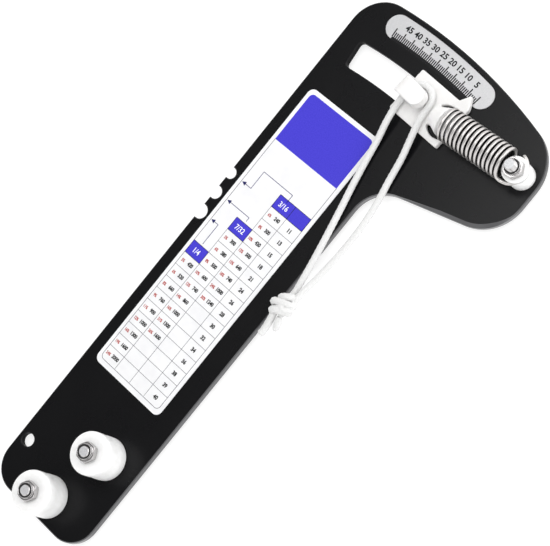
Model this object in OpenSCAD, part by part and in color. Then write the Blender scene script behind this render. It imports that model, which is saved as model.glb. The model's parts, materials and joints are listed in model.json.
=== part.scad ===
// Rigging tension gauge, lying on its back: a black plate with two grooved rollers at one end,
// a curved slot with a sprung nylon hook at the other, a scale above the slot and a lanyard on the hook.
// The cable runs between the rollers and is caught by the hook, which a tension spring pulls to the right.
// Slot, scale and top edge are arcs about one point, midway between the rollers. That point on the plate's
// back face is the origin: X to the right across the handle, Y along it towards the hook, Z out of the face.

/* [Plate] */
// Thickness of the plate
plate_t = 3.2; // [2.6:0.1:5]
// Width of the handle
handle_w = 57.2; // [54:0.1:64]
// From the roller midpoint to the handle's left edge
handle_left = 35.7; // [34:0.1:40]
// From the roller midpoint to the bottom end
handle_bottom = 24.8; // [24:0.1:40]
// Radius of the bottom corners
bottom_corner_r = 12.7; // [6:0.1:16]
// Width of the rim between the scale and the top edge
top_rim = 2.5; // [1.5:0.1:6]
// Radius of the top left corner
top_corner_r = 16; // [8:0.5:20]
// Reach of the lobe to the right of the roller midpoint
lobe_reach = 79; // [77:0.5:90]
// Radius of the lobe's corners
lobe_corner_r = 20; // [14:0.5:24]
// Length of the lobe's straight right side
lobe_side = 8.8; // [4:0.2:14]
// Slope of the lobe's lower edge, degrees
lobe_slope = 14.5; // [10:0.5:20]
// Radius of the hollow between lobe and handle
crotch_r = 16; // [8:0.5:20]

/* [Cable gauge notches and hang hole] */
// Diameters of the cables that the notches gauge
cable_d = [4.76, 5.56, 6.35];
// Extra width of a notch over its cable
notch_clear = 0.4; // [0.2:0.05:0.8]
// Inset of a notch's round end from the edge
notch_inset = 0.7; // [0.2:0.1:2]
// Height of the first notch above the roller midpoint
notch_y = 140.6; // [110:0.2:150]
// Spacing of the notches
notch_pitch = 10.4; // [9:0.1:14]
// Diameter of the hang hole
hang_d = 6; // [4:0.1:7]
// Inset of the hang hole from the left edge
hang_inset = 5.1; // [4:0.1:8]
// Height of the hang hole relative to the roller midpoint
hang_y = -3.6; // [-8:0.2:20]

/* [Slot and hook slide] */
// Radius of the slot's middle line
slot_r = 214; // [205:0.1:225]
// Width of the slot
slot_w = 12.4; // [11.5:0.1:13]
// Radius of the slot's corners
slot_corner_r = 2; // [1:0.1:3]
// Travel of the slide, degrees
slide_travel = 10; // [6:0.5:10]
// Place of the slide's middle at rest, degrees from the Y axis
slide_rest = -5.5; // [-5.8:0.1:-5]
// Running gap on each side of the slide's tongue
tongue_clear = 0.1; // [0.05:0.05:0.2]
// Gap left at each end of the travel
end_clear = 0.35; // [0.2:0.05:0.6]
// Length of the tongue
tongue_l = 9.4; // [9:0.1:11]
// Middle of the tongue from the middle of the slide
tongue_u = -3.3; // [-3.6:0.1:-3]
// Running gap between the slide and the plate's faces
face_clear = 0.15; // [0.1:0.05:0.3]
// Length of the slide's base
base_l = 28.2; // [28:0.2:30]
// Width of the slide's base
base_w = 21; // [19:0.2:22]
// Shift of the base outwards from the slot's middle line
base_out = 0.5; // [0:0.1:1]
// Turn of the base against the slot, degrees
base_turn = 2.4; // [0:0.1:3]
// Thickness of the slide's base
base_t = 3; // [2:0.1:4]
// Radius of the base's corners
base_corner_r = 0.8; // [0.4:0.1:2]
// Reach of the pointer beyond the base
pointer_reach = 4.4; // [4:0.1:6.5]
// Width of the pointer's foot
pointer_w = 5.8; // [4:0.1:7]
// Middle of the pointer from the middle of the slide
pointer_u = 11; // [9:0.1:11.2]
// Width of the pointer's tip
pointer_tip_w = 0.6; // [0.3:0.1:1]
// Diameter of the hook's post
hook_post_d = 8.5; // [7:0.1:8.6]
// Middle of the post from the middle of the slide
hook_post_u = -5.6; // [-6:0.1:-5]
// Height of the post above the base
hook_post_h = 4.2; // [4:0.1:5]
// Length of the hook's head
hook_head_l = 14.5; // [12:0.1:15]
// Width of the hook's head
hook_head_w = 8.4; // [7:0.1:9]
// Thickness of the hook's head
hook_head_t = 5.3; // [4:0.1:6]
// Overhang of the head over the post, on the cable's side
hook_lip = 1.2; // [0:0.1:1.6]
// Radius that rounds the head's far end down
hook_round_r = 4.6; // [2:0.1:5]
// Radius of the head's upright corners on the cable's side
hook_corner_r = 2.6; // [0.5:0.1:3]
// Radius of the head's upright corners at its far end
hook_end_r = 0.8; // [0.5:0.1:3]
// Width of the gap that takes the cable, head to neck
cable_gap = 6.6; // [5:0.1:7]
// Radius of the hollow in the base round the spring
spring_notch_r = 7.5; // [7.2:0.1:8]
// Middle of that hollow from the middle of the slide
spring_notch_u = 9.1; // [8.5:0.1:9.5]
// Diameter of the neck that carries the spring
neck_d = 8; // [7:0.1:9]
// Diameter to which the neck flares where the coil bears on it
flare_d = 13; // [11.5:0.1:13.4]
// Length of that flare
flare_l = 5.6; // [3:0.1:6]

/* [Slide keeper] */
// Length of the keeper behind the plate
keeper_l = 22; // [18:0.5:26]
// Width of the keeper
keeper_w = 19; // [17:0.5:22]
// Thickness of the keeper
keeper_t = 2.4; // [2:0.1:4]
// Radius of the keeper's corners
keeper_corner_r = 3; // [1:0.1:5]
// Diameter of the keeper's screws
keeper_screw_d = 3; // [2.5:0.1:3.5]
// Diameter of their countersunk heads
keeper_head_d = 5.6; // [5:0.1:6]
// Distance between the two screws
keeper_screw_pitch = 6.8; // [6:0.1:7]
// Length of the screws
keeper_screw_l = 7.6; // [6.5:0.1:8]

/* [Spring and its post] */
// Diameter of the spring's wire
wire_d = 1.5; // [1.2:0.05:1.6]
// Mean diameter of the coil
coil_d = 13.5; // [13:0.1:14]
// Spacing of the coil's turns at rest
coil_spacing = 2.17; // [2:0.01:3]
// Length of the slide's neck, from the cable gap to the coil
neck_l = 6.1; // [5:0.1:10]
// Height of the spring's axis over the plate's face
spring_h = 8.8; // [8.6:0.1:10]
// Inset of the spring post from the lobe's right side
post_inset = 8; // [7:0.1:10]
// Place of the spring post beyond the slot's middle line at the top
post_y_out = 0.6; // [0:0.1:1.2]
// Diameter of the nylon bushing and washer on the post
bushing_d = 11.2; // [9:0.1:11.4]
// Diameter of the bushing's hub, which the spring's eye pulls on
hub_d = 6.4; // [6.2:0.1:7]
// Thickness of the nylon washer
washer_t = 1.8; // [1:0.1:2.5]
// Clearance of the spring's eye over and under
eye_clear = 0.12; // [0.1:0.01:0.3]
// Clearance inside the coil round the neck's plug
plug_clear = 0.3; // [0.2:0.05:0.5]
// Length of the plug inside the coil
plug_l = 5.5; // [3:0.1:8]

/* [Rollers and bolts] */
// Distance between the roller axes
roller_pitch = 30.9; // [28:0.1:34]
// Lean of the rollers' common line from the Y axis, degrees
roller_lean = 19.2; // [10:0.2:25]
// Diameter of a roller over its flanges
roller_d = 18.8; // [16:0.1:20]
// Height of a roller
roller_h = 16; // [14:0.1:20]
// Depth of the groove that the cable lies in
groove_depth = 0.15; // [0.1:0.05:0.6]
// Radius of the groove's round
groove_r = 30; // [10:1:50]
// Radius of a roller's edges
roller_edge_r = 0.7; // [0.5:0.1:1.2]
// Diameter of all bolts
bolt_d = 5; // [4:0.1:5.4]
// Diameter of the bolts' countersunk heads
bolt_head_d = 9.2; // [8.6:0.1:9.6]
// Radial clearance of a bolt in its hole, nut or roller
bolt_clear = 0.05; // [0.03:0.01:0.1]
// End float of a roller
roller_float = 0.15; // [0.1:0.05:0.3]
// Hexagon socket of the bolts, across flats
socket_af = 3; // [2.5:0.1:3.4]
// Depth of that socket
socket_depth = 1.6; // [1:0.1:1.9]
// Nut across its flats
nut_af = 8; // [7.6:0.1:9]
// Height of the nut's hexagon
nut_hex_h = 2.9; // [2:0.1:4]
// Height of the nut's locking collar
nut_collar_h = 1.1; // [0.6:0.1:2]
// Diameter of the locking collar
nut_collar_d = 6.8; // [6.4:0.1:7.4]
// Length of thread past a roller's nut
roller_bolt_end = 0.4; // [0.2:0.1:2]
// Length of thread past the spring post's nut
post_bolt_end = 3.5; // [0.5:0.1:5]
// Chamfer of the thread's end
thread_chamfer = 0.4; // [0.2:0.1:0.6]

/* [Scale and label] */
// From the slot's middle line out to the scale's
scale_out = 19.2; // [19:0.1:20]
// Width of the scale
scale_w = 11.2; // [10:0.1:11.6]
// Place of the scale's zero, degrees from the Y axis
scale_zero = -8.47; // [-8.8:0.01:-8]
// Degrees per unit of the scale
scale_step = 0.2472; // [0.24:0.0002:0.25]
// Units on the scale
scale_units = 50; // [45:1:52]
// Thickness of the scale
scale_t = 0.45; // [0.3:0.05:0.8]
// Depth of the recess that it lies in
scale_recess = 0.5; // [0.35:0.05:1]
// Gap round the scale in its recess
scale_gap = 0.25; // [0.1:0.05:0.4]
// Width of the label
label_w = 41.4; // [36:0.1:44]
// Length of the label
label_l = 148.6; // [120:0.1:150]
// Thickness of the label
label_t = 0.25; // [0.1:0.05:0.4]
// Inset of the label from the handle's left edge
label_inset = 5.7; // [4:0.1:8]
// Lower edge of the label above the roller midpoint
label_y = 42.2; // [40:0.1:50]
// Radius of the label's corners
label_corner_r = 3; // [1:0.1:5]

/* [Lanyard] */
// Diameter of the cord
cord_d = 3; // [2.5:0.1:3.2]
// Length of the knot's core
knot_l = 10.5; // [8:0.1:14]
// Radius at which the knot's turns lie
knot_turn_r = 4.3; // [3.6:0.1:5]
// Thickness of the knot as it lies
knot_t = 7.6; // [6:0.1:9]

/* [Hidden] */
$fn = 64;

// Outline of the plate: centres of its rounds, and where they touch the straight and curved edges
scale_r = slot_r + scale_out;
top_r = scale_r + scale_w / 2 + top_rim;
left_x = -handle_left;
right_x = handle_w - handle_left;
bottom_y = -handle_bottom;
top_left_c = [left_x + top_corner_r, circle_y(top_r - top_corner_r, left_x + top_corner_r)];
lobe_x = lobe_reach - lobe_corner_r;
upper_right_c = [lobe_x, circle_y(top_r - lobe_corner_r, lobe_x)];
lower_right_c = upper_right_c - [0, lobe_side];
lobe_end = lower_right_c + lobe_corner_r * [sin(lobe_slope), -cos(lobe_slope)];
crotch_x = right_x + crotch_r;
crotch_c = [crotch_x, lobe_end.y + (crotch_x - lobe_end.x) * tan(lobe_slope) - crotch_r / cos(lobe_slope)];
crotch_end = crotch_c + crotch_r * [-sin(lobe_slope), cos(lobe_slope)];
top_left_end = top_r * unit(top_left_c);
upper_right_end = top_r * unit(upper_right_c);

// Heights over the plate's back face
face_z = plate_t;
base_z = face_z + face_clear;
base_top = base_z + base_t;
head_z = base_top + hook_post_h;
spring_z = face_z + spring_h;
eye_gap = wire_d / 2 + eye_clear;
bushing_top = spring_z - eye_gap;
washer_z = spring_z + eye_gap;
nut_h = nut_hex_h + nut_collar_h;
roller_z = face_z + roller_float;
roller_top = roller_z + roller_h + roller_float;

// Slide: its tongue in the slot, and the slot's ends that stop it
function along(u) = -atan(u / slot_r);
tongue_left = slide_rest + along(tongue_u - tongue_l / 2);
tongue_right = slide_rest + along(tongue_u + tongue_l / 2);
end_angle = atan(end_clear / slot_r);
slot_left = tongue_left + slide_travel + end_angle;
slot_right = tongue_right - end_angle;
head_right = hook_post_u + hook_post_d / 2 + hook_lip;
hook_shift = 0.4;

// Spring: the post, and the spring's axis from the slide's hollow to the post
rings_per_turn = 8;
eye_step = 20;
post = [lobe_reach - post_inset, slot_r + post_y_out];
notch_c = at_slide_point([spring_notch_u, hook_shift]);
spring_dir = atan2(post.y - notch_c.y, post.x - notch_c.x);
neck_left = -norm(post - at_slide_point([head_right + cable_gap, hook_shift]));
ring_r = coil_d / (1 + cos(180 / rings_per_turn));
eye_c = (hub_d + wire_d) / 2 + eye_clear - ring_r * cos(eye_step / 2);
coil_end = eye_c - 2.3;
coil_left = neck_left + neck_l;
coil_start = coil_left + wire_d / 2 + plug_clear;
coil_l = coil_end - coil_start;
coil_turns = round(coil_l / coil_spacing - 2 / 3);
neck_foot_w = neck_d + 1;
plug_d = 2 * (ring_r * cos(180 / rings_per_turn) - wire_d / 2 - plug_clear);
tang_clear = 0.3;
tang_end_r = 2.6;

// Rollers
roller_lower = -roller_pitch / 2 * [sin(roller_lean), cos(roller_lean)];
roller_upper = -roller_lower;

// Scale
scale_left = scale_zero + scale_step * scale_units;

// Cord: its middle line from the knot up the left strand, round the hook's post and down the right strand
lanyard_route = [
    [25.9, 117, 5.6], [25.4, 121.5, 5.3], [23.9, 130, 5.2], [21.9, 140, 5.2], [19.7, 150, 5.2],
    [17.4, 160, 5.2], [15, 170, 5.2], [12.9, 180, 5.2], [11.2, 190, 5.7], [10, 198, 7.4],
    [9.2, 205, 8.3], [8.9, 210, 8.3], [8.9, 214, 8.3], [9.7, 217, 8.3], [11.9, 219.2, 8.3],
    [14.9, 220.1, 8.3], [17.9, 219.3, 8.3], [20.2, 217, 8.3], [21, 214, 8.3], [21.3, 210, 8.3],
    [22.2, 205, 8.3], [23.8, 198, 7.4], [25.3, 190, 5.8], [26.9, 180, 5], [28.8, 171, 5],
    [30.2, 161, 5], [30.6, 151, 5], [30.3, 141, 5], [29.5, 131, 5.2], [28.9, 123, 6.3],
    [28.9, 117, 7.2]];
knot_c = [27.1, 112.8, 7.5];
knot_turn = 14;
tail_routes = [
    [[24.4, 108.9, 6.8], [24.9, 104.5, 5.6], [25.3, 100.4, 5.1], [25.2, 97.4, 5]],
    [[27.7, 108.6, 6.8], [28.7, 105.2, 5.6], [29.4, 102.4, 5.1]]];

function circle_y(r, x) = sqrt(r * r - x * x);
function unit(v) = v / norm(v);
// Point at radius r, a degrees to the left of the Y axis
function polar(r, a) = r * [-sin(a), cos(a)];
// Point of the slide at rest: u along the slot to the right, w outwards from its middle line
function at_slide_point(p) = polar(slot_r + p.y, slide_rest) + p.x * [cos(slide_rest), sin(slide_rest)];

// Sweep of a round section along points: a ring at each point, turned as little as possible from the last
function tangent(p, i) = unit(p[min(i + 1, len(p) - 1)] - p[max(i - 1, 0)]);
function square_to(v, t) = unit(v - (v * t) * t);
function sides_of(p, start, i = 0) =
    i == len(p) ? [] :
    let (n = square_to(start, tangent(p, i)))
    concat([n], sides_of(p, n, i + 1));
function ring(p, n, t, r, sides) =
    [for (k = [0:sides - 1]) p + r * (cos(360 * k / sides) * n + sin(360 * k / sides) * cross(t, n))];

module tube(p, r, sides, start) {
    n = sides_of(p, start);
    last = len(p) - 1;
    points = concat(
        [for (i = [0:last]) each ring(p[i], n[i], tangent(p, i), r, sides)],
        [p[0], p[last]]);
    first_cap = sides * len(p);
    faces = concat(
        [for (i = [0:last - 1], k = [0:sides - 1]) let (a = i * sides, m = (k + 1) % sides)
            each [[a + k, a + sides + k, a + m], [a + m, a + sides + k, a + sides + m]]],
        [for (k = [0:sides - 1]) [first_cap, k, (k + 1) % sides]],
        [for (k = [0:sides - 1]) let (a = last * sides) [first_cap + 1, a + (k + 1) % sides, a + k]]);
    polyhedron(points, faces);
}

// Flat shapes
module rounded_rect(l, w, r) {
    square([l - 2 * r, w], center = true);
    square([l, w - 2 * r], center = true);
    for (x = [-1, 1], y = [-1, 1])
        translate([x * (l / 2 - r), y * (w / 2 - r)]) circle(r);
}

// Part of a ring about the origin, between two lines given by their inner and outer points
module ring_part(r_in, r_out, left, right) {
    reach = [[2, -1], [-1, 2]];
    intersection() {
        difference() {
            circle(r_out, $fn = 360);
            circle(r_in, $fn = 360);
        }
        polygon(concat(
            [for (k = reach) k[0] * right[0] + k[1] * right[1]],
            [for (k = [reach[1], reach[0]]) k[0] * left[0] + k[1] * left[1]]));
    }
}

// Curved slot with rounded corners, from the angle a_left to a_right
module arc_slot(r, w, a_left, a_right, corner_r) {
    r_in = r - w / 2;
    r_out = r + w / 2;
    turn_out = asin(corner_r / (r_out - corner_r));
    turn_in = asin(corner_r / (r_in + corner_r));
    function touch(a, s) = [polar(r_in, a - s * turn_in), polar(r_out, a - s * turn_out)];
    function end_line(a) =
        [polar((r_in + corner_r) * cos(turn_in), a), polar((r_out - corner_r) * cos(turn_out), a)];
    ring_part(r_in, r_out, touch(a_left, 1), touch(a_right, -1));
    left = end_line(a_left);
    right = end_line(a_right);
    polygon([right[0], right[1], left[1], left[0]]);
    for (side = [[a_left, 1], [a_right, -1]]) {
        translate(polar(r_out - corner_r, side[0] - side[1] * turn_out)) circle(corner_r);
        translate(polar(r_in + corner_r, side[0] - side[1] * turn_in)) circle(corner_r);
    }
}

// Curved band with round ends
module arc_band(r, w, a_left, a_right) {
    function line(a) = [polar(r - w / 2, a), polar(r + w / 2, a)];
    ring_part(r - w / 2, r + w / 2, line(a_left), line(a_right));
    for (a = [a_left, a_right])
        translate(polar(r, a)) circle(w / 2);
}

module plate_outline() {
    difference() {
        union() {
            polygon([[left_x + bottom_corner_r, bottom_y], [right_x - bottom_corner_r, bottom_y],
                [right_x, bottom_y + bottom_corner_r], [right_x, crotch_c.y], crotch_c, crotch_end, lobe_end,
                [lobe_reach, lower_right_c.y], [lobe_reach, upper_right_c.y], upper_right_c, top_left_c,
                [left_x, top_left_c.y], [left_x, bottom_y + bottom_corner_r]]);
            intersection() {
                circle(top_r, $fn = 360);
                polygon([0.9 * upper_right_end, 1.2 * upper_right_end, 1.2 * top_left_end,
                    0.9 * top_left_end]);
            }
            translate(top_left_c) circle(top_corner_r);
            translate(upper_right_c) circle(lobe_corner_r);
            translate(lower_right_c) circle(lobe_corner_r);
            for (x = [left_x + bottom_corner_r, right_x - bottom_corner_r])
                translate([x, bottom_y + bottom_corner_r]) circle(bottom_corner_r);
        }
        translate(crotch_c) circle(crotch_r);
    }
}

module notches() {
    for (i = [0:len(cable_d) - 1]) {
        d = cable_d[i] + notch_clear;
        translate([left_x + notch_inset, notch_y - i * notch_pitch]) {
            circle(d / 2);
            translate([-2 * notch_inset, -d / 2]) square([2 * notch_inset, d]);
        }
    }
}

// Hole for a countersunk bolt, from the back
module bolt_hole(at) {
    d = bolt_d + 2 * bolt_clear;
    head = bolt_head_d + 2 * bolt_clear;
    translate([at.x, at.y, 0]) {
        translate([0, 0, -1]) cylinder(d = d, h = plate_t + 2);
        translate([0, 0, -1]) cylinder(d1 = head + 2, d2 = d, h = (head - d) / 2 + 1);
    }
}

module body_plate() {
    color("#232325") difference() {
        linear_extrude(plate_t) difference() {
            plate_outline();
            notches();
            translate([left_x + hang_inset, hang_y]) circle(hang_d / 2);
            arc_slot(slot_r, slot_w, slot_left, slot_right, slot_corner_r);
        }
        for (p = [roller_lower, roller_upper, post]) bolt_hole(p);
        translate([0, 0, face_z - scale_recess]) linear_extrude(scale_recess + 1)
            arc_band(scale_r, scale_w + 2 * scale_gap, scale_left, scale_zero);
    }
}

module scale_plate() {
    color("#c9c9cc") translate([0, 0, face_z - scale_recess]) linear_extrude(scale_t)
        arc_band(scale_r, scale_w, scale_left, scale_zero);
}

module rating_label() {
    color("#f6f6f8") translate([left_x + label_inset + label_w / 2, label_y + label_l / 2, face_z])
        linear_extrude(label_t) rounded_rect(label_w, label_l, label_corner_r);
}

// Frames that the slide's and the spring's pieces are drawn in
module on_slide() {
    rotate([0, 0, slide_rest]) translate([0, slot_r, 0]) children();
}

module on_spring_axis() {
    translate([post.x, post.y, spring_z]) rotate([0, 0, spring_dir]) children();
}

module slide_base_outline() {
    difference() {
        translate([0, base_out]) rotate(base_turn) {
            rounded_rect(base_l, base_w, base_corner_r);
            polygon([[pointer_u - pointer_w / 2, base_w / 2 - 1], [pointer_u + pointer_w / 2, base_w / 2 - 1],
                [pointer_u + pointer_w / 2, base_w / 2],
                [pointer_u + pointer_tip_w / 2, base_w / 2 + pointer_reach],
                [pointer_u - pointer_tip_w / 2, base_w / 2 + pointer_reach],
                [pointer_u - pointer_w / 2, base_w / 2]]);
        }
        difference() {
            translate([spring_notch_u, hook_shift]) circle(spring_notch_r);
            translate([head_right + cable_gap, hook_shift]) rotate(spring_dir - slide_rest)
                translate([-base_l / 2, -neck_foot_w / 2])
                square([base_l / 2 + neck_l - plug_clear, neck_foot_w]);
        }
    }
}

// Head from above, with its own corners at each end
module hook_plan(l, w) {
    translate([hook_end_r - l / 2, -w / 2]) square([l - hook_end_r - hook_corner_r, w]);
    for (end = [[-1, hook_end_r], [1, hook_corner_r]]) {
        r = end[1];
        translate([end[0] * l / 4, 0]) square([l / 2, w - 2 * r], center = true);
        for (y = [-1, 1]) translate([end[0] * (l / 2 - r), y * (w / 2 - r)]) circle(r);
    }
}

module hook_head() {
    l = hook_head_l;
    t = hook_head_t;
    translate([head_right - l / 2, hook_shift, head_z]) intersection() {
        rotate([90, 0, 0]) linear_extrude(hook_head_w, center = true) {
            translate([hook_round_r - l / 2, 0]) square([l - hook_round_r, t]);
            translate([-l / 2, 0]) square([l, t - hook_round_r]);
            translate([hook_round_r - l / 2, t - hook_round_r]) circle(hook_round_r);
        }
        linear_extrude(t) hook_plan(l, hook_head_w);
    }
}

// Round-topped rib from the base up to the spring's axis, a flare, and the plug inside the coil
module spring_neck() {
    foot = spring_z - base_z - base_t / 2;
    on_spring_axis() difference() {
        union() {
            translate([neck_left, -neck_d / 2, -foot]) cube([neck_l, neck_d, foot]);
            translate([neck_left, 0, 0]) rotate([0, 90, 0]) cylinder(d = neck_d, h = neck_l + plug_l / 2);
            translate([coil_left - flare_l, 0, 0]) rotate([0, 90, 0])
                cylinder(d1 = neck_d, d2 = flare_d, h = flare_l);
            translate([coil_left - flare_l / 4, 0, 0]) rotate([0, 90, 0])
                cylinder(d = plug_d, h = plug_l + flare_l / 4);
        }
        translate([coil_start, 0, -plug_d]) cylinder(d = wire_d + 2 * tang_clear, h = plug_d);
    }
}

module keeper_screw_places() {
    for (s = [-1, 1]) translate([tongue_u, s * keeper_screw_pitch / 2, 0]) children();
}

module hook_slide() {
    screw_top = -face_clear - keeper_t + keeper_screw_l;
    post_foot = 0.5;
    color("#f4f4f2") {
        difference() {
            union() {
                on_slide() translate([0, 0, base_z]) linear_extrude(base_t) slide_base_outline();
                translate([0, 0, -face_clear]) linear_extrude(base_z + face_clear + base_t / 2)
                    arc_slot(slot_r, slot_w - 2 * tongue_clear, tongue_left, tongue_right, slot_corner_r);
            }
            on_slide() keeper_screw_places()
                translate([0, 0, -1]) cylinder(d = keeper_screw_d + 2 * bolt_clear, h = screw_top + 1.3);
        }
        on_slide() {
            translate([hook_post_u, hook_shift, base_top - post_foot])
                cylinder(d = hook_post_d, h = hook_post_h + 2 * post_foot);
            hook_head();
        }
        spring_neck();
    }
}

module slide_keeper() {
    d = keeper_screw_d + 2 * bolt_clear;
    head = keeper_head_d + 2 * bolt_clear;
    color("#ececea") on_slide() translate([tongue_u, 0, -face_clear - keeper_t]) difference() {
        linear_extrude(keeper_t) rounded_rect(keeper_l, keeper_w, keeper_corner_r);
        for (s = [-1, 1]) translate([0, s * keeper_screw_pitch / 2, -1]) {
            cylinder(d = d, h = keeper_t + 2);
            cylinder(d1 = head + 2, d2 = d, h = (head - d) / 2 + 1);
        }
    }
}

// Countersunk screw standing on its head, with a hexagon socket
module flat_head_screw(d, head_d, l, af, depth, chamfer) {
    difference() {
        union() {
            cylinder(d1 = head_d, d2 = d, h = (head_d - d) / 2);
            cylinder(d = d, h = l - chamfer);
            translate([0, 0, l - chamfer]) cylinder(d1 = d, d2 = d - 2 * chamfer, h = chamfer);
        }
        translate([0, 0, -1]) cylinder(d = af / cos(30), h = depth + 1, $fn = 6);
    }
}

module keeper_screw(s) {
    color("#b9bbbf") on_slide() translate([tongue_u, s * keeper_screw_pitch / 2, -face_clear - keeper_t])
        flat_head_screw(keeper_screw_d, keeper_head_d, keeper_screw_l, keeper_screw_d * 0.6, 1,
            thread_chamfer);
}

module keeper_screw_inner() { keeper_screw(-1); }

module keeper_screw_outer() { keeper_screw(1); }

// Spring's middle line: a tang turned into the plug, the coil, a bend and the open eye round the hub
coil_first = -90;
coil_last = coil_first + 360 * coil_turns + 240;
coil_pitch = coil_l * 360 / (coil_last - coil_first);
eye_first = -85;
eye_last = 75;
function coil_point(a) =
    [coil_start + coil_pitch * (a - coil_first) / 360, ring_r * cos(a), ring_r * sin(a)];
function eye_point(a) = [eye_c + ring_r * cos(a), ring_r * sin(a), 0];
function bezier(a, b, c, d, t) =
    pow(1 - t, 3) * a + 3 * t * pow(1 - t, 2) * b + 3 * t * t * (1 - t) * c + pow(t, 3) * d;
coil_way = unit([coil_pitch / 360, -ring_r * sin(coil_last) * PI / 180, ring_r * cos(coil_last) * PI / 180]);
bend_reach = 2.2;
bend_ends = [coil_point(coil_last), eye_point(eye_first)];
bend_points = [for (t = [0.25:0.25:0.75]) bezier(bend_ends[0], bend_ends[0] + bend_reach * coil_way,
    bend_ends[1] - bend_reach * [-sin(eye_first), cos(eye_first), 0], bend_ends[1], t)];
tang_points = [[coil_start, 0, -tang_end_r], [coil_start, -0.4, 1.2 - ring_r]];
spring_points = concat(
    tang_points,
    [for (a = [coil_first + 25, coil_first + 45]) coil_point(a)],
    [for (a = [coil_first + 90:360 / rings_per_turn:coil_last]) coil_point(a)],
    bend_points,
    [for (a = [eye_first:eye_step:eye_last]) eye_point(a)]);
// Nearest approach of two stretches of wire that aren't neighbours along it
function least_gap(p, skip) =
    min([for (i = [0:len(p) - skip - 1], j = [i + skip:len(p) - 1]) norm(p[i] - p[j])]) - wire_d;

module tension_spring() {
    echo(str("spring: least gap to itself ", least_gap(spring_points, 6), " mm"));
    color("#c4c6c8") on_spring_axis() tube(spring_points, wire_d / 2, 6, [1, 0, 0]);
}

module spring_post_bolt() {
    l = washer_z + washer_t + nut_h + post_bolt_end;
    color("#c9cbce") translate([post.x, post.y, 0])
        flat_head_screw(bolt_d, bolt_head_d, l, socket_af, socket_depth, thread_chamfer);
}

module spring_bushing() {
    color("#f0f0ee") translate([post.x, post.y, face_z]) difference() {
        union() {
            cylinder(d = bushing_d, h = bushing_top - face_z);
            cylinder(d = hub_d, h = washer_z - face_z);
        }
        translate([0, 0, -1]) cylinder(d = bolt_d + 2 * bolt_clear, h = washer_z);
    }
}

module spring_washer() {
    color("#f0f0ee") translate([post.x, post.y, washer_z]) difference() {
        cylinder(d = bushing_d, h = washer_t);
        translate([0, 0, -1]) cylinder(d = bolt_d + 2 * bolt_clear, h = washer_t + 2);
    }
}

// Hexagon lock nut with a round collar, its upper corners turned off
module lock_nut() {
    corner_d = nut_af / cos(30);
    difference() {
        union() {
            intersection() {
                cylinder(d = corner_d, h = nut_hex_h, $fn = 6);
                cylinder(d1 = corner_d + 2 * nut_hex_h, d2 = nut_af, h = nut_hex_h);
            }
            cylinder(d = nut_collar_d, h = nut_h - thread_chamfer);
            translate([0, 0, nut_h - thread_chamfer])
                cylinder(d1 = nut_collar_d, d2 = nut_collar_d - 2 * thread_chamfer, h = thread_chamfer);
        }
        translate([0, 0, -1]) cylinder(d = bolt_d + 2 * bolt_clear, h = nut_h + 2);
    }
}

module spring_post_nut() {
    color("#c9cbce") translate([post.x, post.y, washer_z + washer_t]) lock_nut();
}

module roller(at) {
    r = roller_d / 2;
    e = roller_edge_r;
    color("#f4f4f4") translate([at.x, at.y, roller_z]) rotate_extrude() difference() {
        union() {
            square([r - e, roller_h]);
            translate([0, e]) square([r, roller_h - 2 * e]);
            for (z = [e, roller_h - e]) translate([r - e, z]) circle(e);
        }
        translate([r + groove_r - groove_depth, roller_h / 2]) circle(groove_r);
        translate([-e, -e]) square([e + bolt_d / 2 + bolt_clear, roller_h + 2 * e]);
    }
}

module roller_bolt(at) {
    color("#c9cbce") translate([at.x, at.y, 0]) flat_head_screw(bolt_d, bolt_head_d,
        roller_top + nut_h + roller_bolt_end, socket_af, socket_depth, thread_chamfer);
}

module roller_nut(at) {
    color("#c9cbce") translate([at.x, at.y, roller_top]) lock_nut();
}

module lower_roller() { roller(roller_lower); }

module upper_roller() { roller(roller_upper); }

module lower_roller_bolt() { roller_bolt(roller_lower); }

module upper_roller_bolt() { roller_bolt(roller_upper); }

module lower_roller_nut() { roller_nut(roller_lower); }

module upper_roller_nut() { roller_nut(roller_upper); }

module lanyard_loop() {
    color("#f2f2f0") tube(lanyard_route, cord_d / 2, 8, [0, 0, 1]);
}

// Overhand knot: three turns of cord round the strands, pressed flat where they lie
module lanyard_knot() {
    r = cord_d / 2;
    color("#f2f2f0") translate(knot_c) rotate([0, 0, knot_turn]) intersection() {
        rotate([90, 0, 0]) rotate_extrude() {
            translate([0, -knot_l / 2]) square([knot_turn_r, knot_l]);
            for (y = [-1:1]) translate([knot_turn_r, y * 1.05 * cord_d]) circle(r);
        }
        cube([4 * knot_turn_r, 2 * knot_l, knot_t], center = true);
    }
}

module lanyard_tails() {
    color("#f2f2f0") for (p = tail_routes) tube(p, cord_d / 2, 8, [0, 0, 1]);
}

body_plate();
scale_plate();
rating_label();
hook_slide();
slide_keeper();
keeper_screw_inner();
keeper_screw_outer();
tension_spring();
spring_post_bolt();
spring_bushing();
spring_washer();
spring_post_nut();
lower_roller();
upper_roller();
lower_roller_bolt();
upper_roller_bolt();
lower_roller_nut();
upper_roller_nut();
lanyard_loop();
lanyard_knot();
lanyard_tails();
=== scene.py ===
# %% [markdown]
# # A rigging tension gauge
# A hand gauge for wire rope: a black plate with two nylon rollers at one end, and at the other a nylon hook
# that a tension spring pulls along a curved slot, under a silver scale. A white lanyard hangs on the hook.
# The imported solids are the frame. Each step below dresses one of them or makes a finer piece in its place.

# %% Load the solids
import json
import math

import bmesh
import bpy
from mathutils import Matrix, Vector

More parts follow.
